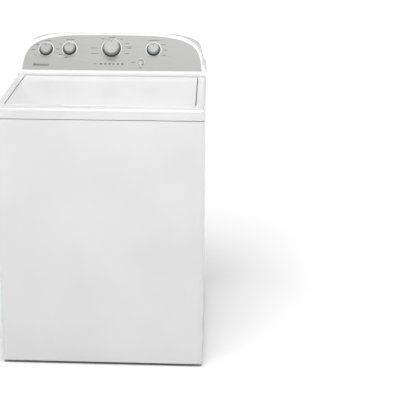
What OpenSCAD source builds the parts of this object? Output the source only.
// Top-loading washing machine with a hinged lid, a leaning control console,
// a tub hung on four sprung rods, and a belt drive under the tub.
// Millimetres. X runs across the front, -Y is the front, +Z is up.
// The origin is on the floor under the middle of the overall box.

/* [Cabinet] */
// Width across the cabinet
body_w = 698; // [580:1:840]
// Depth from the front face to the rear panel
cabinet_d = 665; // [550:1:800]
// Height of the deck above the floor
deck_h = 926; // [770:1:1115]
// Thickness of the steel sheet
sheet_t = 1.2; // [1:0.1:1.5]
// Radius of the rounded edges of the top panel
edge_r = 12; // [6:1:14]
// Radius of the cabinet's front corners
corner_r = 10; // [5:1:14]
// Height of the cabinet's lower edge above the floor
skirt_z = 10; // [8:1:14]
// Height of the top panel's fascia
fascia_h = 35; // [30:1:45]
// Shadow gap between the top panel and the cabinet
seam_gap = 2.5; // [1.5:0.5:4]
// How far the water connections stand out behind the rear panel
port_reach = 21; // [18:1:26]

/* [Lid] */
// Distance from the front face back to the lid
lid_setback = 45; // [38:1:60]
// Width of the deck strip beside the lid
side_strip = 30; // [28:1:45]
// Gap between the lid and the deck around it
lid_gap = 3; // [2:0.5:4]
// Thickness of the lid
lid_t = 18; // [14:1:18]
// Radius of the lid's front corners
lid_corner_r = 22; // [10:1:30]
// Radius of the lid's hinge pins
pin_r = 4; // [3:0.5:5]
// Width of the ledge around the loading opening
ledge_w = 44; // [36:1:55]
// Corner radius of the loading opening
opening_r = 110; // [60:1:130]

/* [Console] */
// Depth of the console from its foot to its back
console_d = 196; // [170:1:230]
// Height of the console above the deck
console_h = 141; // [120:1:170]
// Lean of the control panel from the vertical, in degrees
panel_lean = 34.4; // [25:0.1:40]
// Wall of the console's moulding
console_wall = 3.5; // [3:0.1:4]
// Radius of the large cycle knob
cycle_knob_r = 34; // [28:0.5:38]
// Radius of the three small knobs
small_knob_r = 25; // [20:0.5:27]
// Radius of the start button
button_r = 12; // [9:0.5:14]
// Radius of the control shafts
shaft_r = 3; // [2.5:0.5:4]

/* [Tub] */
// Height of the tub's floor above the ground
tub_floor_z = 300; // [290:1:330]
// Clear room between the tub and the nearest wall
swing_gap = 46; // [42:1:60]
// Wall of the tub
tub_wall = 3; // [2.5:0.5:4]
// Gap between the tub and the basket
basket_gap = 16; // [12:1:22]
// Height of the balance ring
balance_h = 46; // [36:1:60]
// Width of the balance ring
balance_w = 38; // [30:1:46]
// Radius of the suspension rods
rod_r = 2.5; // [2:0.5:3.5]
// Distance from the cabinet's sides to the suspension rods
rod_inset = 60; // [54:1:66]

/* [Drive] */
// Radius of the agitator's skirt
skirt_r = 165; // [130:1:175]
// Radius of the auger's barrel
auger_r = 48; // [44:1:56]
// Radius of the auger's fins
fin_r = 76; // [66:1:86]
// Radius of the agitator's shaft
drive_shaft_r = 8; // [7:0.5:9]
// Outer radius of the spin tube
spin_r = 17; // [15:0.5:19]
// Radius of the drive pulley under the belt
pulley_r = 85; // [70:1:95]
// Radius of the motor's pulley under the belt
motor_pulley_r = 20; // [16:1:26]
// Distance from the basket's axis to the motor's axis
motor_off = 158; // [150:1:175]

/* [Hidden] */
$fn = 96;

// Clearances that the fits share
run_gap = 0.05;
loose_gap = 0.4;
cut = 1;

// Overall places
half_w = body_w / 2;
y_front = -(cabinet_d + port_reach) / 2;
y_back = y_front + cabinet_d;
y_port = y_back + port_reach;
y_axis = (y_front + y_back) / 2;
cab_top_z = deck_h - fascia_h - seam_gap;
wall_x = half_w - sheet_t;
y_wall_front = y_front + sheet_t;
y_wall_back = y_back - 2 * sheet_t;

// Lid and recess
y_foot = y_back - console_d;
nose_r = lid_t / 2 + 1;
y_pivot = y_foot - lid_gap / 2 - nose_r;
z_pivot = deck_h - nose_r;
lid_x = half_w - side_strip - lid_gap;
recess_x = half_w - side_strip;
y_lid = y_front + lid_setback;
y_recess = y_lid - lid_gap / 2;
lid_under_z = deck_h - lid_t;
ledge_z = lid_under_z - 4;
opening_x = recess_x - ledge_w;
y_open_front = y_recess + ledge_w - 6;
y_open_back = y_foot - ledge_w;
opening_lip_z = ledge_z - 19;
hinge_bush_r = pin_r + 3;
pin_x = recess_x + 14;

// Control panel
ledge_in = 16;
ledge_up = 17;
panel_y = y_foot + ledge_in;
panel_z = deck_h + ledge_up;
crown_r = 10;
crown_l = (console_h - ledge_up) / cos(panel_lean);
back_fall = 35;
silver_gap = 10;
silver_l = crown_l - silver_gap;
silver_x = half_w - 18;
shell_x = half_w - 13;
side_taper = 0.1;
silver_power = 3.8;
shell_power = 4.2;
base_flare = 10;
flare_l = 45;
film_t = 1.2;
film_recess = 1.5;
board_h = console_wall + 12;
knob_gap = 1;
cycle_at = [-3, 87.5];
temperature_at = [-246, 81.5];
soil_at = [-159, 84.5];
option_at = [152, 84.5];
button_at = [106, 33];
light_n = 6;
light_pitch = 15.7;
light_size = [7, 4.5];
light_at = [-40, 26];

// Tub, basket and agitator
tub_r = min(body_w, cabinet_d) / 2 - swing_gap;
tub_top_z = deck_h - 102;
tub_flange = 14;
tub_floor_t = 4;
hub_r = 62;
hub_low_z = tub_floor_z - 12;
hub_top_z = tub_floor_z + 14;
basket_r = tub_r - tub_wall - basket_gap;
basket_t = 1.2;
basket_z = tub_floor_z + 28;
basket_top_z = tub_top_z - 8;
agitator_z = basket_z + 8;
bell_top_z = agitator_z + 114;
auger_z = bell_top_z + 2;
auger_top_z = basket_top_z - 112;
barrel_r = auger_r - 9;
ear_z = tub_floor_z + 92;
ear_t = 10;
rod_x = half_w - rod_inset;
rod_y = (y_back - y_front) / 2 - rod_inset;
bracket_z = deck_h - 126;
bracket_t = 3;
bracket_leg = 150;
spring_z = ear_z - 124;
spring_r = 16;
wire_r = 2;

// Drive
belt_z = tub_floor_z - 113;
belt_w = 12;
belt_t = 4;
belt_gap = 0.3;
pulley_face = 22;
pulley_low_z = belt_z - pulley_face / 2;
pulley_hub_r = 15;
pulley_hub_top_z = belt_z + 22.5;
slider_z = pulley_hub_top_z + 8.5;
slider_h = 16;
slider_r = 27;
fork_z = slider_z + slider_h / 2;
lower_bearing_z = slider_z + slider_h + 6;
bearing_r = 34;
bearing_h = 14;
motor_r = 62;
motor_low_z = belt_z + 17;
motor_top_z = tub_floor_z - 22;
motor_shaft_r = 6;
lever_pivot_x = -78;
lever_pin_r = 3;
pump_at = [-150, y_axis - 112];
pump_z = tub_floor_z - 68;
pump_r = 38;
impeller_r = 28;
spigot_r = 14;

// Feet
foot_x = half_w - 42;
foot_in = 46;
foot_pad_r = 20;
foot_stud_r = 5;
foot_top_z = 62;
nut_h = 6;
frame_z = skirt_z + 14;
frame_t = 2;

// Rear connections
hose_z = deck_h - 76;
valve_x = 235;
valve_pitch = 60;
port_r = 13.4;
drain_x = -200;
drain_r = 14;
barb_r = 15;
gland_x = -290;
gland_r = 12;
cord_r = 4.3;
screw_r = 2;

// ---- Shared shapes ----

function arc(c, r, a0, a1, n) = [for (i = [0:n]) c + r * [cos(a0 + (a1 - a0) * i / n),
    sin(a0 + (a1 - a0) * i / n)]];

// Rectangle from y0 to y1, x either side of the middle, with round front and back corners
module round_plan(x, y0, y1, rf, rb) {
    translate([-x, y0 + rf]) square([2 * x, y1 - y0 - rf - rb]);
    translate([-x + rf, y0]) square([2 * (x - rf), rf + cut]);
    translate([-x + rb, y1 - rb - cut]) square([2 * (x - rb), rb + cut]);
    for (s = [-1, 1]) {
        translate([s * (x - rf), y0 + rf]) circle(rf);
        translate([s * (x - rb), y1 - rb]) circle(rb);
    }
}

module box(lo, hi) {
    translate(lo) cube(hi - lo);
}

module ring(r_out, r_in, z0, z1) {
    translate([0, 0, z0]) difference() {
        cylinder(r = r_out, h = z1 - z0);
        translate([0, 0, -cut]) cylinder(r = r_in, h = z1 - z0 + 2 * cut);
    }
}

module on_axis() {
    translate([0, y_axis, 0]) children();
}

// Places children on the control panel: x across, l up the slope, h out of the panel
module on_panel(at, h = 0) {
    translate([0, panel_y, panel_z]) rotate([90 - panel_lean, 0, 0])
        translate([at[0], at[1], h]) children();
}

module at_rods() {
    for (sx = [-1, 1], sy = [-1, 1]) translate([sx * rod_x, y_axis + sy * rod_y, 0]) children();
}

// Tube of radius r along a list of points, with flat ends
function unit(v) = v / norm(v);
function path_dir(p, i) = unit(p[min(i + 1, len(p) - 1)] - p[max(i - 1, 0)]);
function side_of(d) = unit(cross(d, abs(d[2]) > 0.9 ? [0, 1, 0] : [0, 0, 1]));
function next_side(s, d) = unit(s - d * (s * d));
function path_sides(p, i = 0, s = undef) = i >= len(p) ? [] :
    let (d = path_dir(p, i), n = s == undef ? side_of(d) : next_side(s, d))
    concat([n], path_sides(p, i + 1, n));

module sweep(p, r, sides) {
    s = path_sides(p);
    points = [for (i = [0:len(p) - 1]) for (k = [0:sides - 1])
        let (d = path_dir(p, i), a = 360 * k / sides)
        p[i] + r * (cos(a) * s[i] + sin(a) * cross(d, s[i]))];
    walls = [for (i = [0:len(p) - 2]) for (k = [0:sides - 1])
        let (a = i * sides + k, b = i * sides + (k + 1) % sides)
        [a, a + sides, b + sides, b]];
    first = [for (k = [0:sides - 1]) k];
    last = [for (k = [sides - 1:-1:0]) (len(p) - 1) * sides + k];
    polyhedron(points, concat([first], walls, [last]));
}

// Points of a smooth curve through a hose's route
function bend(a, b, c, d, t) = 0.5 * (2 * b + (c - a) * t + (2 * a - 5 * b + 4 * c - d) * t * t
    + (3 * b - a - 3 * c + d) * t * t * t);
function smooth(p, n) = concat([for (i = [0:len(p) - 2]) for (j = [0:n - 1])
    bend(p[max(i - 1, 0)], p[i], p[i + 1], p[min(i + 2, len(p) - 1)], j / n)], [p[len(p) - 1]]);

// ---- Cabinet ----

module cabinet_plan(inset) {
    round_plan(half_w - inset, y_front + inset, y_back - sheet_t - inset, corner_r - inset, 3 - inset);
}

module cabinet() {
    color("#e6e6e4") {
        flange = 24;
        rim = 20;
        difference() {
            union() {
                difference() {
                    translate([0, 0, skirt_z]) linear_extrude(cab_top_z - skirt_z) cabinet_plan(0);
                    translate([0, 0, skirt_z - cut]) linear_extrude(cab_top_z) cabinet_plan(sheet_t);
                }
                translate([0, 0, cab_top_z - sheet_t]) linear_extrude(sheet_t) cabinet_plan(0);
            }
            translate([0, 0, cab_top_z - sheet_t - cut]) linear_extrude(3 * cut)
                round_plan(half_w - rim, y_front + rim, y_back - rim, 8, 8);
            box([-half_w + flange, y_wall_back - cut, skirt_z - cut],
                [half_w - flange, y_back + cut, cab_top_z - sheet_t - 8]);
        }
    }
}

module vent_slots(n, w, h, pitch) {
    for (i = [0:n - 1]) translate([-w / 2, y_back - 3 * sheet_t, i * pitch]) cube([w, 6 * sheet_t, h]);
}

function rear_screws() = [for (sx = [-1, 1], k = [0:3])
    [sx * (half_w - 14), skirt_z + 40 + k * (cab_top_z - skirt_z - 80) / 3]];
function cover_screws() = [for (x = [-270, -90, 90, 270]) [x * half_w / 349, deck_h + 66]];

module rear_panel() {
    color("#c9cbcc") {
        margin = 5;
        difference() {
            box([-half_w + margin, y_back - sheet_t, skirt_z + 6],
                [half_w - margin, y_back, cab_top_z]);
            for (x = [valve_x - valve_pitch / 2, valve_x + valve_pitch / 2])
                rear_hole([x, hose_z], port_r + loose_gap);
            rear_hole([drain_x, hose_z], barb_r + loose_gap);
            rear_hole([gland_x, hose_z], gland_r);
            for (p = rear_screws()) rear_hole(p, screw_r);
            translate([0, 0, tub_floor_z + 60]) vent_slots(6, 160, 6, 24);
        }
    }
}

module rear_hole(p, r) {
    translate([p[0], y_back + 10, p[1]]) rotate([90, 0, 0]) cylinder(r = r, h = 20);
}

module base_frame() {
    color("#8d9092") {
        rail = 74;
        lip_h = 34;
        boss_r = 14;
        difference() {
            union() {
                translate([0, 0, frame_z]) linear_extrude(frame_t) difference() {
                    round_plan(wall_x, y_wall_front, y_wall_back, corner_r - sheet_t, 3);
                    round_plan(wall_x - rail, y_wall_front + rail, y_wall_back - rail, 30, 30);
                }
                translate([0, 0, frame_z]) linear_extrude(lip_h) difference() {
                    round_plan(wall_x, y_wall_front, y_wall_back, corner_r - sheet_t, 3);
                    round_plan(wall_x - frame_t, y_wall_front + frame_t, y_wall_back - frame_t,
                        corner_r - sheet_t - frame_t, 1);
                }
                at_feet() translate([0, 0, frame_z]) cylinder(r = boss_r, h = 12);
            }
            at_feet() cylinder(r = foot_stud_r + 2 * run_gap, h = foot_top_z + cut);
        }
    }
}

module at_feet() {
    for (x = [-foot_x, foot_x], y = [y_front + foot_in, y_back - foot_in])
        translate([x, y, 0]) children();
}

module foot(sx, sy) {
    color("#3a3b3c") translate([sx * foot_x, sy < 0 ? y_front + foot_in : y_back - foot_in, 0]) {
        pad_h = 6;
        rotate_extrude() polygon([[0, 0], [foot_pad_r - 1.5, 0], [foot_pad_r, 1.5],
            [foot_pad_r, pad_h - 2], [foot_pad_r - 4, pad_h], [0, pad_h]]);
        translate([0, 0, pad_h - cut]) cylinder(r = 9, h = frame_z - nut_h - pad_h + cut, $fn = 6);
        cylinder(r = foot_stud_r, h = foot_top_z);
    }
}

module foot_front_left() { foot(-1, -1); }
module foot_front_right() { foot(1, -1); }
module foot_rear_left() { foot(-1, 1); }
module foot_rear_right() { foot(1, 1); }

module foot_lock_nuts() {
    color("#b9bcbe") {
        at_feet() translate([0, 0, frame_z - nut_h]) difference() {
            cylinder(r = 10, h = nut_h, $fn = 6);
            translate([0, 0, -cut]) cylinder(r = foot_stud_r + 2 * run_gap, h = nut_h + 2 * cut);
        }
    }
}

module corner_brackets() {
    color("#a9acae") for (sx = [-1, 1], sy = [-1, 1]) {
        x = sx * wall_x;
        y = sy < 0 ? y_wall_front : y_wall_back;
        clip = corner_r + 2;
        difference() {
            translate([x, y, bracket_z]) linear_extrude(bracket_t)
                polygon([[-sx * clip, 0], [-sx * bracket_leg, 0], [0, -sy * bracket_leg], [0, -sy * clip]]);
            translate([sx * rod_x, y_axis + sy * rod_y, bracket_z - cut])
                cylinder(r = rod_r + 4, h = bracket_t + 2 * cut);
        }
    }
}

// ---- Top panel ----

// Solid with rounded front and side top edges, from z0 up to the deck, shrunk by t
module deck_block(t, z0) {
    r = edge_r - t;
    x = half_w - t;
    zt = deck_h - t;
    intersection() {
        translate([x, 0, 0]) rotate([90, 0, -90]) linear_extrude(2 * x)
            polygon(concat([[-y_back + t, z0], [-y_back + t, zt]],
                [for (p = arc([-(y_front + t) - r, zt - r], r, 90, 0, 10)) p], [[-(y_front + t), z0]]));
        translate([0, y_back, 0]) rotate([90, 0, 0]) linear_extrude(cabinet_d)
            polygon(concat([[-x, z0]], arc([-x + r, zt - r], r, 180, 90, 10),
                arc([x - r, zt - r], r, 90, 0, 10), [[x, z0]]));
        translate([0, 0, z0]) linear_extrude(deck_h - z0)
            round_plan(x, y_front + t, y_back - t, corner_r - t, 3 - t);
    }
}

module opening_plan(grow) {
    round_plan(opening_x + grow, y_open_front - grow, y_open_back + grow, opening_r + grow, opening_r + grow);
}

module top_panel() {
    color("#efefee") {
        lip = 6;
        grip_w = 250;
        grip_sag = 20;
        grip_d = 16;
        grip_big_r = (pow(grip_w / 2, 2) + pow(grip_sag, 2)) / (2 * grip_sag);
        z_low = deck_h - fascia_h;
        bleach = bleach_at();
        difference() {
            union() {
                difference() {
                    deck_block(0, z_low);
                    deck_block(sheet_t, z_low - cut);
                }
                translate([0, 0, cab_top_z]) linear_extrude(deck_h - cab_top_z - sheet_t / 2) difference() {
                    round_plan(half_w - lip, y_front + lip, y_back - lip, corner_r, 3);
                    round_plan(half_w - lip - sheet_t, y_front + lip + sheet_t, y_back - lip - sheet_t, corner_r, 3);
                }
                translate([0, 0, ledge_z - sheet_t]) linear_extrude(deck_h - ledge_z + sheet_t / 2)
                    recess_plan(sheet_t);
                box([-grip_w / 2 - 4, y_recess - grip_d - 2, deck_h - grip_sag - 3],
                    [grip_w / 2 + 4, y_recess, deck_h - sheet_t / 2]);
                translate([0, 0, opening_lip_z]) linear_extrude(ledge_z - opening_lip_z) opening_plan(sheet_t);
            }
            translate([0, 0, ledge_z]) linear_extrude(deck_h) recess_plan(0);
            translate([0, 0, opening_lip_z - cut]) linear_extrude(deck_h) opening_plan(0);
            translate([0, y_recess + cut, deck_h - grip_sag + grip_big_r]) rotate([90, 0, 0])
                cylinder(r = grip_big_r, h = grip_d + cut, $fn = 360);
            for (s = [-1, 1]) translate([s * (recess_x - cut), y_pivot, z_pivot]) rotate([0, s * 90, 0])
                cylinder(r = hinge_bush_r, h = sheet_t + 2 * cut);
            strike_slot();
            translate([bleach[0], bleach[1], ledge_z - 3 * sheet_t]) cylinder(r = 20, h = 10);
        }
    }
}

module recess_plan(grow) {
    round_plan(recess_x + grow, y_recess - grow, y_foot + grow, lid_corner_r + lid_gap + grow, 2 + grow);
}

function strike_x() = opening_x - 50;
function strike_y() = y_lid + 18;

module strike_slot() {
    box([strike_x() - 10, strike_y() - 8, ledge_z - 3 * sheet_t],
        [strike_x() + 10, strike_y() + 8, ledge_z + cut]);
}

// ---- Lid ----

module lid_plan(inset, y_end) {
    round_plan(lid_x - inset, y_lid + inset, y_end, lid_corner_r - inset, 0.5);
}

module lid_panel() {
    color("#efefee") difference() {
        union() {
            translate([0, 0, lid_under_z]) linear_extrude(lid_t) lid_plan(0, y_pivot);
            nose(nose_r, lid_x);
        }
        translate([0, 0, lid_under_z - cut]) linear_extrude(lid_t + cut - sheet_t)
            lid_plan(sheet_t, y_pivot - nose_r);
        box([-lid_x + sheet_t, y_pivot - nose_r - 2, z_pivot - 2 * nose_r],
            [lid_x - sheet_t, y_pivot, deck_h - sheet_t]);
        nose(nose_r - sheet_t, lid_x - sheet_t);
        nose(pin_r, half_w);
    }
}

module nose(r, x) {
    translate([-x, y_pivot, z_pivot]) rotate([0, 90, 0]) cylinder(r = r, h = 2 * x);
}

module lid_liner() {
    color("#dcdcda") {
        pan_t = 2;
        y_end = y_pivot - nose_r - 4;
        z1 = deck_h - sheet_t;
        difference() {
            translate([0, 0, lid_under_z]) linear_extrude(z1 - lid_under_z) lid_plan(sheet_t, y_end);
            translate([0, 0, lid_under_z + pan_t]) linear_extrude(lid_t) lid_plan(sheet_t + pan_t, y_end - pan_t);
        }
        for (k = [-1.5:1:1.5]) translate([k * lid_x / 2.2, (y_lid + y_end) / 2, lid_under_z + pan_t - 0.5])
            translate([-1, -(y_end - y_lid) / 2 + 5, 0]) cube([2, y_end - y_lid - 10, z1 - lid_under_z - pan_t + 0.5]);
    }
}

module lid_hinge_pins() {
    color("#b4b7b9") for (s = [-1, 1]) translate([s * (lid_x - sheet_t), y_pivot, z_pivot]) {
        rotate([0, -s * 90, 0]) cylinder(r = nose_r - sheet_t, h = 12);
        rotate([0, s * 90, 0]) cylinder(r = pin_r, h = pin_x - lid_x + sheet_t - 2);
    }
}

module hinge_bushings() {
    color("#6e7072") for (s = [-1, 1]) translate([s * recess_x, y_pivot, z_pivot]) rotate([0, s * 90, 0])
        difference() {
            union() {
                cylinder(r = hinge_bush_r, h = pin_x - recess_x);
                translate([0, 0, sheet_t]) cylinder(r = nose_r - sheet_t - 0.3, h = 3);
            }
            translate([0, 0, -cut]) cylinder(r = pin_r + run_gap, h = pin_x - recess_x);
        }
}

module lid_strike() {
    color("#5d6062") difference() {
        union() {
            box([strike_x() - 6, strike_y() - 5, lid_under_z - 22], [strike_x() + 6, strike_y() + 5, lid_under_z]);
            box([strike_x() - 14, strike_y() - 9, lid_under_z - 2], [strike_x() + 14, strike_y() + 9, lid_under_z]);
        }
        translate([strike_x() - 8, strike_y(), lid_under_z - 14]) rotate([0, 90, 0]) cylinder(r = 3.2, h = 16);
    }
}

module lid_lock() {
    color("#f3f3f1") difference() {
        box([strike_x() - 16, strike_y() - 12, ledge_z - sheet_t - 28],
            [strike_x() + 54, strike_y() + 12, ledge_z - sheet_t]);
        box([strike_x() - 10, strike_y() - 8, ledge_z - sheet_t - 24],
            [strike_x() + 10, strike_y() + 8, ledge_z]);
        translate([strike_x() + 8, strike_y(), lid_under_z - 14]) rotate([0, 90, 0])
            cylinder(r = 2.5 + run_gap, h = 36);
    }
}

module lid_lock_bolt() {
    color("#9a9da0") translate([strike_x() + 13, strike_y(), lid_under_z - 14]) rotate([0, 90, 0])
        cylinder(r = 2.5, h = 22);
}

module lid_bumpers() {
    rest_gap = 0.2;
    color("#4a4b4c") for (s = [-1, 1], y = [y_lid + 16, y_pivot - 40])
        translate([s * (lid_x - 24), y, ledge_z + rest_gap]) cylinder(r = 6, h = lid_under_z - ledge_z - rest_gap);
}

// ---- Under-deck pieces ----

function bleach_at() = [-(opening_x - 12), y_open_front + 8];

module bleach_dispenser() {
    color("#9db8cf") {
        at = bleach_at();
        cup_r = 20;
        depth = 36;
        chute_r = 8;
        to_axis = [-at[0], y_axis - at[1]];
        run = norm(to_axis) - (basket_r - balance_w - 14);
        difference() {
            union() {
                translate([at[0], at[1], ledge_z]) cylinder(r = cup_r + 4, h = 1.5);
                translate([at[0], at[1], ledge_z - depth]) cylinder(r = cup_r, h = depth + 1);
                chute(at, to_axis, run, chute_r, depth);
            }
            translate([at[0], at[1], ledge_z - depth + 2]) cylinder(r = cup_r - 2, h = depth);
            chute(at, to_axis, run + cut, chute_r - 2, depth);
        }
    }
}

module chute(at, to_axis, run, r, depth) {
    fall = 4;
    translate([at[0], at[1], ledge_z - depth + 8]) rotate([0, 0, atan2(to_axis[1], to_axis[0])])
        rotate([0, 90 + fall, 0]) cylinder(r = r, h = run);
}

module inlet_valve() {
    color("#e9e9e6") {
        body_y = y_back - sheet_t - 34;
        bore_r = 8;
        difference() {
            union() {
                box([valve_x - valve_pitch / 2 - 17, body_y, hose_z - 15],
                    [valve_x + valve_pitch / 2 + 17, y_back - sheet_t, hose_z + 15]);
                for (s = [-1, 1]) translate([valve_x + s * valve_pitch / 2, y_port, hose_z]) rotate([90, 0, 0]) {
                    cylinder(r = port_r, h = port_reach);
                    cylinder(r = port_r - cut, h = port_reach + sheet_t + cut);
                }
                for (s = [-1, 1]) translate([valve_x + s * valve_pitch / 2, body_y + 17, hose_z - 40])
                    cylinder(r = 13, h = 30);
                translate([valve_x, body_y + cut, hose_z]) rotate([90, 0, 0]) cylinder(r = 9, h = 16 + cut);
            }
            for (s = [-1, 1]) translate([valve_x + s * valve_pitch / 2, y_port + cut, hose_z]) rotate([90, 0, 0])
                cylinder(r = bore_r, h = port_reach + 6);
        }
    }
}

// The hose pushes over the valve's outlet and ends in a moulded nozzle over the basket
module fill_hose() {
    color("#3c3d3e") {
        start_y = y_back - sheet_t - 34;
        hose_r = 11;
        nozzle_x = 150;
        z = hose_z + 18;
        difference() {
            union() {
                sweep(concat([[valve_x, start_y, hose_z]], smooth([[valve_x, start_y - 18, hose_z],
                    [valve_x - 6, start_y - 60, hose_z + 6], [valve_x - 40, start_y - 100, z],
                    [nozzle_x + 6, start_y - 130, z], [nozzle_x, y_open_back + 30, z]], 6)), hose_r, 12);
                box([nozzle_x - 22, y_open_back + sheet_t, z - 13],
                    [nozzle_x + 22, y_open_back + 34, ledge_z - sheet_t]);
            }
            translate([valve_x, start_y + cut, hose_z]) rotate([90, 0, 0]) cylinder(r = 9, h = 16 + cut);
        }
        box([nozzle_x - 22, y_open_back - 26, z - 13], [nozzle_x + 22, y_open_back + 2, opening_lip_z - 1]);
    }
}

module drain_port() {
    color("#4a4c4e") {
        wall = 3;
        elbow_y = y_back - 30;
        difference() {
            union() {
                translate([drain_x, y_port, hose_z]) rotate([90, 0, 0]) cylinder(r = drain_r, h = y_port - elbow_y);
                translate([drain_x, y_port, hose_z]) rotate([90, 0, 0]) cylinder(r = barb_r, h = port_reach);
                translate([drain_x, elbow_y, hose_z - 46]) cylinder(r = drain_r, h = 46);
                translate([drain_x, elbow_y, hose_z]) sphere(r = drain_r);
            }
            translate([drain_x, y_port + cut, hose_z]) rotate([90, 0, 0])
                cylinder(r = drain_r - wall, h = y_port - elbow_y + cut);
            translate([drain_x, elbow_y, hose_z - 47]) cylinder(r = drain_r - wall, h = 47);
        }
        translate([drain_x, y_back - sheet_t, hose_z]) rotate([90, 0, 0]) difference() {
            cylinder(r = drain_r + 8, h = 2.5);
            translate([0, 0, -cut]) cylinder(r = drain_r - cut, h = 2.5 + 2 * cut);
        }
    }
}

// Hose from the pump, round the back of the tub, up to the drain port
module drain_hose() {
    hose_r = 15;
    x0 = pump_at[0] - pump_r - 34;
    z0 = pump_z + 15;
    y_rise = y_back - 30;
    color("#6a6c6e") sweep(concat([[x0 - loose_gap, pump_at[1], z0]], smooth([[x0 - 12, pump_at[1], z0],
        [x0 - 26, pump_at[1] + 12, z0],
        [x0 - 34, pump_at[1] + 60, z0 - 6], [x0 - 34, y_axis + 60, z0 - 10],
        [x0 - 14, y_rise - 70, z0 - 10], [drain_x - 6, y_rise - 8, z0 + 30],
        [drain_x, y_rise, z0 + 110], [drain_x, y_rise, hose_z - 160], [drain_x, y_rise, hose_z - 46]], 6)),
        hose_r, 12);
}

module cord_gland() {
    color("#2e2f30") translate([gland_x, y_back + 10, hose_z]) rotate([90, 0, 0]) difference() {
        union() {
            translate([0, 0, 7]) cylinder(r = gland_r + 3, h = 3);
            cylinder(r = gland_r, h = 20);
        }
        translate([0, 0, -cut]) cylinder(r = cord_r, h = 22);
    }
}

module cabinet_screws() {
    color("#9fa2a4") {
        head_r = 4.5;
        head_h = 3;
        for (p = rear_screws()) translate([p[0], y_back + head_h, p[1]]) rotate([90, 0, 0]) {
            cylinder(r = head_r, h = head_h);
            cylinder(r = screw_r, h = head_h + sheet_t);
        }
        for (p = cover_screws()) translate([p[0], y_back + sheet_t + head_h, p[1]]) rotate([90, 0, 0]) {
            cylinder(r = head_r, h = head_h);
            cylinder(r = screw_r, h = head_h + sheet_t);
        }
    }
}

// ---- Console ----

function panel_n() = [-cos(panel_lean), sin(panel_lean)];
function panel_u() = [sin(panel_lean), cos(panel_lean)];

// Centre of the crown's rounding, in (y, z)
function crown_c() = let (z = deck_h + console_h - crown_r, n = panel_n())
    [panel_y + ((z - panel_z) * n[1] + crown_r) / -n[0], z];

// Side view of the console shrunk by t, down to z0
function console_side(t, z0) = let (c = crown_c(), n = panel_n(), r = crown_r - t,
    top = c + r * [sin(back_fall), cos(back_fall)], yb = y_back - t)
    concat([[y_foot + t, z0], [y_foot + t, deck_h + 2], [y_foot + t + 2, deck_h + 9 - t / 2],
        [y_foot + t + 7, deck_h + 14.5 - t], [panel_y - n[0] * t, panel_z - n[1] * t]],
        arc(c, r, 180 - panel_lean - 0, 90 - back_fall, 12),
        [[yb, top[1] - (yb - top[0]) * tan(back_fall)], [yb, z0]]);

// Half-width of an outline at height l up the panel
function edge_x(l, x, top_l, power, flare) = (x - side_taper * l) * pow(1 - pow(min(l / top_l, 1), power), 1 / power)
    + flare * pow(max(0, 1 - l / flare_l), 2);
function half_outline(x, top_l, power, flare) = [for (a = [0:3:90]) let (l = top_l * sin(a))
    [edge_x(l, x, top_l, power, flare), l]];
function mirrored(p) = concat(p, [for (i = [len(p) - 2:-1:0]) [-p[i][0], p[i][1]]]);

// Console solid shrunk by t and reaching down to z0
module console_solid(t, z0) {
    rim = mirrored(half_outline(shell_x - t, crown_l - t, shell_power, base_flare));
    base_x = shell_x - t + base_flare;
    intersection() {
        translate([-half_w, 0, 0]) rotate([90, 0, 90]) linear_extrude(body_w) polygon(console_side(t, z0));
        translate([0, y_back + cut, 0]) rotate([90, 0, 0]) linear_extrude(console_d + 2 * cut)
            polygon(concat([for (p = rim) [p[0], panel_z + p[1] * cos(panel_lean)]],
                [[-base_x, z0], [base_x, z0]]));
    }
}

module silver_outline() {
    polygon(mirrored(half_outline(silver_x, silver_l, silver_power, 0)));
}

module console_housing() {
    color("#f1f1ef") difference() {
        console_solid(0, deck_h);
        console_solid(console_wall, deck_h - cut);
        on_panel([0, 0], -film_recess) linear_extrude(3 * film_recess) silver_outline();
        panel_holes(shaft_r + 2, -2 * console_wall);
        box([-half_w + 50, y_back - console_wall - cut, deck_h + 12],
            [half_w - 50, y_back + cut, deck_h + 58]);
        for (p = cover_screws()) translate([p[0], y_back + cut, p[1]]) rotate([90, 0, 0])
            cylinder(r = screw_r, h = console_wall + 2 * cut);
    }
}

// Holes for the four shafts, the start button and the lights, from height h outwards
module panel_holes(r, h) {
    for (at = [cycle_at, temperature_at, soil_at, option_at]) on_panel(at, h) cylinder(r = r, h = -2 * h);
    on_panel(button_at, h) cylinder(r = button_r + loose_gap, h = -2 * h);
    at_lights(h) translate([-light_size[0] / 2, -light_size[1] / 2, 0]) cube([light_size[0], light_size[1], -2 * h]);
}

module at_lights(h) {
    for (i = [0:light_n - 1]) on_panel([light_at[0] + i * light_pitch, light_at[1]], h) children();
}

module console_fascia() {
    color("#bfc0c1") difference() {
        on_panel([0, 0], -film_recess) linear_extrude(film_t) silver_outline();
        panel_holes(shaft_r + 2, -2 * console_wall);
    }
}

module console_rear_cover() {
    color("#c9cbcc") difference() {
        box([-half_w + 42, y_back, deck_h + 4], [half_w - 42, y_back + sheet_t, deck_h + 72]);
        for (p = cover_screws()) rear_hole(p, screw_r);
        for (k = [0:3]) box([-60, y_back - cut, deck_h + 18 + k * 9], [60, y_back + 2 * cut, deck_h + 22 + k * 9]);
    }
}

module indicator_lights() {
    color("#4c5054") at_lights(-console_wall) translate([-light_size[0] / 2, -light_size[1] / 2, 0])
        cube([light_size[0], light_size[1], console_wall]);
}

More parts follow.
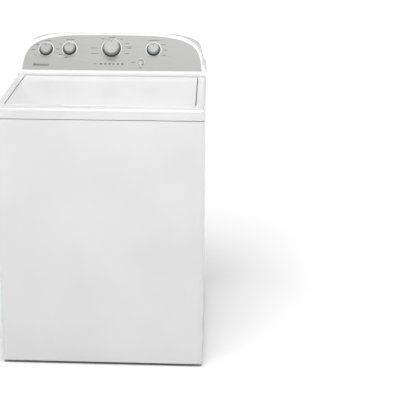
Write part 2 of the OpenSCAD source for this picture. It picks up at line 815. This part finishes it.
module control_board() {
    board_t = 1.6;
    color("#2f6b46") {
        on_panel([temperature_at[0] - 22, 56], -board_h - board_t)
            cube([option_at[0] - temperature_at[0] + 44, 50, board_t]);
        on_panel([-64, 14], -board_h - board_t) cube([64 + button_at[0] + 22, 43, board_t]);
        for (p = [[-210, 62, 40, 22, 14], [-110, 60, 34, 30, 18], [40, 62, 26, 26, 20], [86, 60, 40, 20, 12]])
            on_panel([p[0], p[1]], -board_h - board_t - p[4]) cube([p[2], p[3], p[4] + 0.5]);
    }
}

module control_switches() {
    side = 28;
    lamp_t = 3;
    color("#3b3f43") {
        for (at = [cycle_at, temperature_at, soil_at, option_at, button_at]) difference() {
            on_panel([at[0] - side / 2, at[1] - side / 2], -board_h) cube([side, side, board_h - console_wall]);
            on_panel(at, -board_h + 1) cylinder(r = (at == button_at ? 5 : shaft_r) + run_gap, h = board_h);
        }
        at_lights(-board_h) translate([-light_size[0] / 2, -light_size[1] / 2, 0])
            cube([light_size[0], light_size[1], board_h - console_wall]);
    }
}

// Knob with a skirt, a tapered grip, a rimmed face and a shaft
module knob(r, h) {
    skirt = 2.5;
    rotate_extrude() polygon([[0, knob_gap], [r, knob_gap], [r, knob_gap + skirt], [r - 1.5, knob_gap + skirt + 1],
        [r - 3.5, knob_gap + h - 3], [r - 6, knob_gap + h], [r - 8, knob_gap + h], [r - 8.5, knob_gap + h - 0.6],
        [0, knob_gap + h - 0.6]]);
    translate([-1, r - 20, knob_gap + h - 1]) cube([2, 11, 1]);
    translate([0, 0, -board_h + 2.5]) cylinder(r = shaft_r, h = board_h - 1);
}

module cycle_knob() { color("#c3c4c5") on_panel(cycle_at) knob(cycle_knob_r, 21); }
module temperature_knob() { color("#c3c4c5") on_panel(temperature_at) knob(small_knob_r, 17); }
module soil_knob() { color("#c3c4c5") on_panel(soil_at) knob(small_knob_r, 17); }
module option_knob() { color("#c3c4c5") on_panel(option_at) knob(small_knob_r, 17); }

module start_button() {
    proud = 2.5;
    color("#b9babb") on_panel(button_at, -2) {
        rotate_extrude() polygon([[0, 0], [button_r, 0], [button_r, 2.5 + proud - 1],
            [button_r - 1, 2.5 + proud], [0, 2.5 + proud - 0.5]]);
        translate([0, 0, -8]) cylinder(r = 5, h = 8.5);
    }
}

// ---- Suspension ----

module suspension_rods() {
    low_z = spring_z - 10;
    color("#b7babc") at_rods() {
        translate([0, 0, low_z]) cylinder(r = rod_r, h = bracket_z + bracket_t + 12 - low_z);
        translate([0, 0, low_z - 3]) cylinder(r = rod_r + 3, h = 3.5);
        translate([0, 0, bracket_z + bracket_t + 11]) cylinder(r = rod_r + 3, h = 3);
    }
}

module rod_fittings() {
    color("#e3e4e2") at_rods() {
        translate([0, 0, bracket_z]) rotate_extrude() polygon([[rod_r, 0], [rod_r + 4, 0], [rod_r + 4, bracket_t],
            [rod_r + 10, bracket_t], [rod_r + 8, bracket_t + 7], [rod_r + 5, bracket_t + 11], [rod_r, bracket_t + 11]]);
        translate([0, 0, spring_z - 9.5]) rotate_extrude() polygon([[rod_r, 0], [rod_r + 8, 0], [spring_r + 6, 5],
            [spring_r + 6, 9.5], [spring_r + 4, 9.5], [spring_r + 4, 9], [rod_r, 9]]);
    }
}

function coil(r, z0, z1, turns, n) = [for (i = [0:turns * n]) let (a = 360 * i / n)
    [r * cos(a), r * sin(a), z0 + (z1 - z0) * i / (turns * n)]];

module suspension_springs() {
    color("#8f9294") at_rods() sweep(coil(spring_r, spring_z + wire_r, ear_z - wire_r - 0.5, 8, 12), wire_r, 6);
}

// ---- Tub ----

module tub_ear() {
    reach = norm([rod_x, rod_y]);
    ear_w = 44;
    slot_r = 8;
    difference() {
        union() {
            translate([tub_r - 2, -ear_w / 2, ear_z]) cube([reach - tub_r + 2, ear_w, ear_t]);
            translate([reach, 0, ear_z]) cylinder(r = ear_w / 2, h = ear_t);
            for (s = [-1, 1]) translate([tub_r - 2, s * (ear_w / 2 - 2) - 2, ear_z - 50]) rotate([90, 0, 90])
                linear_extrude(0.01 + reach - tub_r - 30) square([4, 50 + ear_t]);
        }
        translate([reach, 0, ear_z - cut]) cylinder(r = slot_r, h = ear_t + 2 * cut);
    }
}

module outer_tub() {
    color("#e2e4e6") on_axis() difference() {
        union() {
            rotate_extrude() polygon([[hub_r - 3, tub_floor_z], [tub_r, tub_floor_z], [tub_r, tub_top_z - 4],
                [tub_r + tub_flange, tub_top_z - 4], [tub_r + tub_flange, tub_top_z], [tub_r - tub_wall, tub_top_z],
                [tub_r - tub_wall, tub_floor_z + tub_floor_t], [hub_r - 3, tub_floor_z + tub_floor_t]]);
            translate([0, 0, hub_low_z]) cylinder(r = hub_r, h = hub_top_z - hub_low_z);
            for (a = [22.5:45:360]) rotate(a) translate([hub_r - 2, -2, tub_floor_z - 10])
                cube([tub_r - hub_r - 4, 4, 11]);
            difference() {
                ring(tub_r - 4, tub_r - 8, tub_floor_z - 10, tub_floor_z + 1);
                // Room for the pump's legs where a small tub brings the rib over them
                translate([pump_at[0], pump_at[1] - y_axis, tub_floor_z - 10 - cut])
                    cylinder(r = pump_r + 12, h = 10 + cut);
            }
            for (sx = [-1, 1], sy = [-1, 1]) rotate(atan2(sy * rod_y, sx * rod_x)) tub_ear();
            translate([pump_at[0], pump_at[1] - y_axis, tub_floor_z - 14]) cylinder(r = 20, h = 15);
        }
        translate([0, 0, hub_low_z - cut]) cylinder(r = bearing_r, h = bearing_h + cut);
        translate([0, 0, hub_low_z]) cylinder(r = 30, h = hub_top_z);
        translate([pump_at[0], pump_at[1] - y_axis, tub_floor_z - 30]) cylinder(r = 16, h = 60);
    }
}

module tub_ring() {
    color("#dfe1e3") on_axis() {
        lip_r = basket_r - balance_w + 6;
        z1 = tub_top_z + 12;
        rotate_extrude() polygon([[tub_r - tub_wall, tub_top_z], [tub_r + tub_flange, tub_top_z],
            [tub_r + tub_flange, tub_top_z + 4], [tub_r + 2, tub_top_z + 4], [tub_r - 2, z1], [lip_r + 3, z1],
            [lip_r, z1 - 3], [lip_r, tub_top_z + 1], [lip_r + 3, tub_top_z + 1], [lip_r + 3, z1 - 3],
            [tub_r - tub_wall - 2, z1 - 3]]);
    }
}

module tub_bearings() {
    color("#aeb2b5") on_axis() {
        for (z = [hub_low_z, lower_bearing_z]) ring(bearing_r, spin_r + run_gap, z, z + bearing_h);
    }
}

module shaft_seal() {
    z0 = hub_low_z + bearing_h;
    color("#303234") on_axis() rotate_extrude() polygon([[spin_r + 2 * run_gap, z0], [30, z0], [30, hub_top_z],
        [spin_r + 5, hub_top_z], [spin_r + 2 * run_gap, z0 + 4]]);
}

module gearcase() {
    plate_t = 4;
    case_r = 50;
    color("#a7abae") on_axis() difference() {
        union() {
            translate([0, 0, lower_bearing_z - 2]) cylinder(r = case_r, h = hub_low_z - lower_bearing_z + 2);
            translate([0, 0, hub_low_z - 8]) cylinder(r = hub_r + 12, h = 8);
            translate([0, -34, motor_top_z]) cube([motor_off, 68, plate_t]);
            translate([motor_off, 0, motor_top_z]) cylinder(r = motor_r, h = plate_t);
        }
        translate([0, 0, lower_bearing_z]) cylinder(r = bearing_r, h = hub_low_z);
        translate([0, 0, lower_bearing_z - 3]) cylinder(r = spin_r + 3, h = 10);
        translate([motor_off, 0, motor_top_z - cut]) cylinder(r = 20, h = plate_t + 2 * cut);
    }
}

module motor() {
    color("#7f8386") on_axis() translate([motor_off, 0, 0]) difference() {
        union() {
            translate([0, 0, motor_low_z]) rotate_extrude() polygon([[0, 0], [motor_r - 12, 0], [motor_r, 8],
                [motor_r, motor_top_z - motor_low_z - 8], [motor_r - 8, motor_top_z - motor_low_z],
                [0, motor_top_z - motor_low_z]]);
            for (a = [0:30:330]) rotate(a) translate([motor_r - 2, -1.5, motor_low_z + 12])
                cube([5, 3, motor_top_z - motor_low_z - 24]);
        }
        translate([0, 0, motor_low_z - cut]) cylinder(r = motor_shaft_r + run_gap, h = 30 + cut);
    }
}

module motor_pulley() {
    rim = motor_pulley_r + belt_t + 2;
    color("#54585b") on_axis() translate([motor_off, 0, 0]) {
        ring(motor_pulley_r, motor_shaft_r - cut, pulley_low_z, pulley_low_z + pulley_face);
        for (z = [pulley_low_z, pulley_low_z + pulley_face - 2]) ring(rim, motor_shaft_r - cut, z, z + 2);
        translate([0, 0, pulley_low_z - 4]) cylinder(r = motor_shaft_r, h = motor_low_z + 26 - pulley_low_z);
    }
}

module drive_pulley() {
    rim_t = 5;
    color("#5b5f62") on_axis() {
        ring(pulley_r, pulley_r - rim_t, pulley_low_z, pulley_low_z + pulley_face);
        for (z = [pulley_low_z, pulley_low_z + pulley_face - 2]) ring(pulley_r + belt_t + 2, pulley_r - rim_t, z, z + 2);
        for (a = [0:60:300]) rotate(a) translate([pulley_hub_r - 2, -4, pulley_low_z + 4])
            cube([pulley_r - rim_t - pulley_hub_r + 4, 8, pulley_face - 8]);
        translate([0, 0, pulley_low_z - 4]) cylinder(r = pulley_hub_r, h = pulley_hub_top_z - pulley_low_z + 4);
        translate([0, 0, pulley_hub_top_z - cut]) cylinder(r = drive_shaft_r, h = 18);
    }
}

// Outline of a belt round both pulleys; its straight runs sit a hair inside the tangents
module belt_line(big, small) {
    b = asin((big - small) / motor_off);
    r0 = big - 0.02;
    r1 = small - 0.02;
    circle(big);
    translate([motor_off, 0]) circle(small);
    polygon([[r0 * sin(b), r0 * cos(b)], [motor_off + r1 * sin(b), r1 * cos(b)],
        [motor_off + r1 * sin(b), -r1 * cos(b)], [r0 * sin(b), -r0 * cos(b)]]);
}

module drive_belt() {
    color("#2b2c2d") on_axis() translate([0, 0, belt_z - belt_w / 2]) linear_extrude(belt_w) difference() {
        belt_line(pulley_r + belt_gap + belt_t, motor_pulley_r + belt_gap + belt_t);
        belt_line(pulley_r + belt_gap, motor_pulley_r + belt_gap);
    }
}

module clutch_slider() {
    groove = 3;
    color("#c7cacc") on_axis() translate([0, 0, slider_z]) rotate_extrude() polygon([[spin_r + run_gap, 0],
        [slider_r, 0], [slider_r, slider_h / 2 - groove], [slider_r - 4, slider_h / 2 - groove],
        [slider_r - 4, slider_h / 2 + groove], [slider_r, slider_h / 2 + groove], [slider_r, slider_h],
        [spin_r + run_gap, slider_h]]);
}

module shift_lever() {
    arm_t = 3;
    arm_w = 12;
    color("#d8b25a") on_axis() translate([0, 0, fork_z]) difference() {
        union() {
            translate([lever_pivot_x, -arm_w / 2, -arm_t / 2])
                cube([-lever_pivot_x - slider_r + 3, arm_w, arm_t]);
            translate([lever_pivot_x, arm_w / 2, 0]) rotate([90, 0, 0]) cylinder(r = lever_pin_r + 3, h = arm_w);
        }
        translate([lever_pivot_x, arm_w, 0]) rotate([90, 0, 0]) cylinder(r = lever_pin_r + run_gap, h = 2 * arm_w);
    }
}

module shift_actuator() {
    ear_gap = 7;
    depth = 44;
    color("#4d5154") on_axis() {
        difference() {
            union() {
                box([lever_pivot_x - 56, -24, fork_z - 22], [lever_pivot_x - 10, 24, fork_z + 24]);
                for (s = [-1, 1]) translate([0, s * (ear_gap + 2) - 2, 0])
                    box([lever_pivot_x - 11, 0, fork_z - 8], [lever_pivot_x + 7, 4, fork_z + 8]);
                box([lever_pivot_x - 50, -12, fork_z + 20], [lever_pivot_x - 20, 12, tub_floor_z]);
            }
        }
        translate([lever_pivot_x, ear_gap + 2, fork_z]) rotate([90, 0, 0]) cylinder(r = lever_pin_r, h = 2 * ear_gap + 4);
    }
}

module drain_pump() {
    wall = 3;
    volute_h = 30;
    color("#dfe0de") translate([pump_at[0], pump_at[1], pump_z]) difference() {
        union() {
            cylinder(r = pump_r, h = volute_h);
            translate([0, 0, -46]) cylinder(r = 27, h = 47);
            translate([0, 0, volute_h - cut]) cylinder(r = 16, h = tub_floor_z - pump_z - volute_h + cut);
            translate([0, 0, volute_h / 2]) rotate([0, -90, 0]) cylinder(r = spigot_r - 2, h = pump_r + 34);
            for (a = [60, 240]) rotate(a) translate([pump_r - 4, -6, volute_h - 4])
                cube([14, 12, tub_floor_z - pump_z - volute_h + 4]);
        }
        translate([0, 0, wall]) cylinder(r = impeller_r + 4, h = volute_h - 2 * wall);
        translate([0, 0, volute_h - 2 * wall]) cylinder(r = 13, h = tub_floor_z);
        translate([0, 0, volute_h / 2]) rotate([0, -90, 0]) cylinder(r = spigot_r - 5, h = pump_r + 36);
        translate([0, 0, -20]) cylinder(r = shaft_r + run_gap, h = 30);
    }
}

module pump_impeller() {
    color("#3f6fa0") translate([pump_at[0], pump_at[1], pump_z]) {
        translate([0, 0, 5]) cylinder(r = impeller_r, h = 2);
        for (a = [0:60:300]) rotate(a) translate([4, -1, 6]) cube([impeller_r - 5, 2, 13]);
        translate([0, 0, 5]) cylinder(r = 7, h = 15);
        translate([0, 0, -18]) cylinder(r = shaft_r, h = 24);
    }
}

// ---- Basket and agitator ----

module basket() {
    dish = 6;
    color("#c4c7c9") on_axis() rotate_extrude() polygon([[spin_r + 2, basket_z], [basket_r - 14, basket_z],
        [basket_r - dish, basket_z + 3], [basket_r, basket_z + 12], [basket_r, basket_top_z],
        [basket_r - basket_t, basket_top_z], [basket_r - basket_t, basket_z + 12.6],
        [basket_r - dish - 1, basket_z + 4.2], [basket_r - 14.4, basket_z + basket_t], [spin_r + 2, basket_z + basket_t]]);
}

module balance_ring() {
    color("#d4d8dc") on_axis() {
        r1 = basket_r - basket_t;
        r0 = basket_r - balance_w;
        z0 = basket_top_z - balance_h;
        rotate_extrude() polygon([[r1, z0 + 8], [r1, basket_top_z], [basket_r + 3, basket_top_z],
            [basket_r + 3, basket_top_z + 3], [r0 + 6, basket_top_z + 3], [r0, basket_top_z - 4], [r0, z0 + 6],
            [r0 + 8, z0], [r1 - 8, z0]]);
    }
}

module spin_tube() {
    plate_r = 58;
    low_z = pulley_hub_top_z + 2;
    color("#9b9fa2") on_axis() difference() {
        union() {
            translate([0, 0, low_z]) cylinder(r = spin_r, h = basket_z + 10 - low_z);
            translate([0, 0, basket_z - 8]) cylinder(r = plate_r, h = 8);
        }
        translate([0, 0, low_z - cut]) cylinder(r = drive_shaft_r + run_gap, h = basket_z + 12 - low_z);
    }
}

module agitate_shaft() {
    low_z = pulley_hub_top_z + 20;
    color("#b5b9bc") on_axis() {
        translate([0, 0, low_z]) cylinder(r = drive_shaft_r, h = bell_top_z - low_z + cut);
        translate([0, 0, bell_top_z]) cylinder(r = drive_shaft_r + 4, h = 7, $fn = 6);
    }
}

module agitator_vane() {
    vane_t = 7;
    rotate([90, 0, 0]) translate([0, 0, -vane_t / 2]) linear_extrude(vane_t)
        polygon([[skirt_r - 6, agitator_z + 6], [skirt_r - 4, agitator_z + 20], [skirt_r - 40, agitator_z + 62],
            [auger_r + 18, agitator_z + 92], [auger_r + 2, bell_top_z - 2], [auger_r - 4, bell_top_z - 6],
            [auger_r + 6, agitator_z + 70], [skirt_r - 80, agitator_z + 34], [skirt_r - 20, agitator_z + 11]]);
}

module agitator_base() {
    wall = 3;
    color("#e9ebec") on_axis() {
        rotate_extrude() polygon([[skirt_r, agitator_z], [skirt_r, agitator_z + 8], [skirt_r - 40, agitator_z + 22],
            [skirt_r - 78, agitator_z + 44], [auger_r + 12, agitator_z + 74], [auger_r, bell_top_z],
            [barrel_r, bell_top_z], [barrel_r, auger_top_z + 2], [barrel_r - wall, auger_top_z + 2],
            [barrel_r - wall, bell_top_z], [drive_shaft_r, bell_top_z], [drive_shaft_r, bell_top_z - 50],
            [drive_shaft_r + 8, bell_top_z - 50], [drive_shaft_r + 8, bell_top_z - 5], [auger_r - 4, bell_top_z - 5],
            [auger_r + 8, agitator_z + 72], [skirt_r - 80, agitator_z + 41], [skirt_r - 41, agitator_z + 19],
            [skirt_r - wall, agitator_z + 6], [skirt_r - wall, agitator_z]]);
        for (a = [45:90:315]) rotate(a) agitator_vane();
    }
}

module agitator_auger() {
    wall = 4;
    fin_t = 5;
    starts = 3;
    h = auger_top_z - auger_z;
    color("#e4e6e8") on_axis() {
        ring(auger_r, auger_r - wall, auger_z, auger_top_z);
        for (z = [auger_z + 20, auger_top_z - 32]) ring(auger_r - wall + cut, barrel_r + run_gap, z, z + 12);
        for (a = [0:360 / starts:359]) rotate(a) translate([0, 0, auger_z + 6])
            linear_extrude(height = h - 16, twist = 240, slices = 40, $fn = 8)
                translate([auger_r - 2, -fin_t / 2]) square([fin_r - auger_r + 2, fin_t]);
    }
}

module agitator_cap() {
    z0 = auger_top_z + 2;
    color("#cfd3d6") on_axis() rotate_extrude() polygon([[0, z0], [barrel_r, z0], [auger_r, z0 + 2], [auger_r, z0 + 12],
        [auger_r - 6, z0 + 18], [auger_r - 14, z0 + 20], [auger_r - 16, z0 + 8], [0, z0 + 8]]);
}

cabinet();
rear_panel();
base_frame();
top_panel();
corner_brackets();
console_housing();
console_fascia();
console_rear_cover();
indicator_lights();
control_board();
control_switches();
inlet_valve();
fill_hose();
drain_port();
drain_hose();
cord_gland();
suspension_rods();
rod_fittings();
suspension_springs();
lid_lock();
hinge_bushings();
bleach_dispenser();
foot_lock_nuts();
cabinet_screws();
lid_panel();
lid_liner();
lid_hinge_pins();
lid_strike();
lid_bumpers();
cycle_knob();
temperature_knob();
soil_knob();
option_knob();
start_button();
lid_lock_bolt();
foot_front_left();
foot_front_right();
foot_rear_left();
foot_rear_right();
outer_tub();
tub_ring();
shaft_seal();
tub_bearings();
gearcase();
motor();
shift_actuator();
drain_pump();
drive_belt();
basket();
balance_ring();
spin_tube();
agitator_base();
agitate_shaft();
agitator_auger();
agitator_cap();
drive_pulley();
motor_pulley();
pump_impeller();
clutch_slider();
shift_lever();
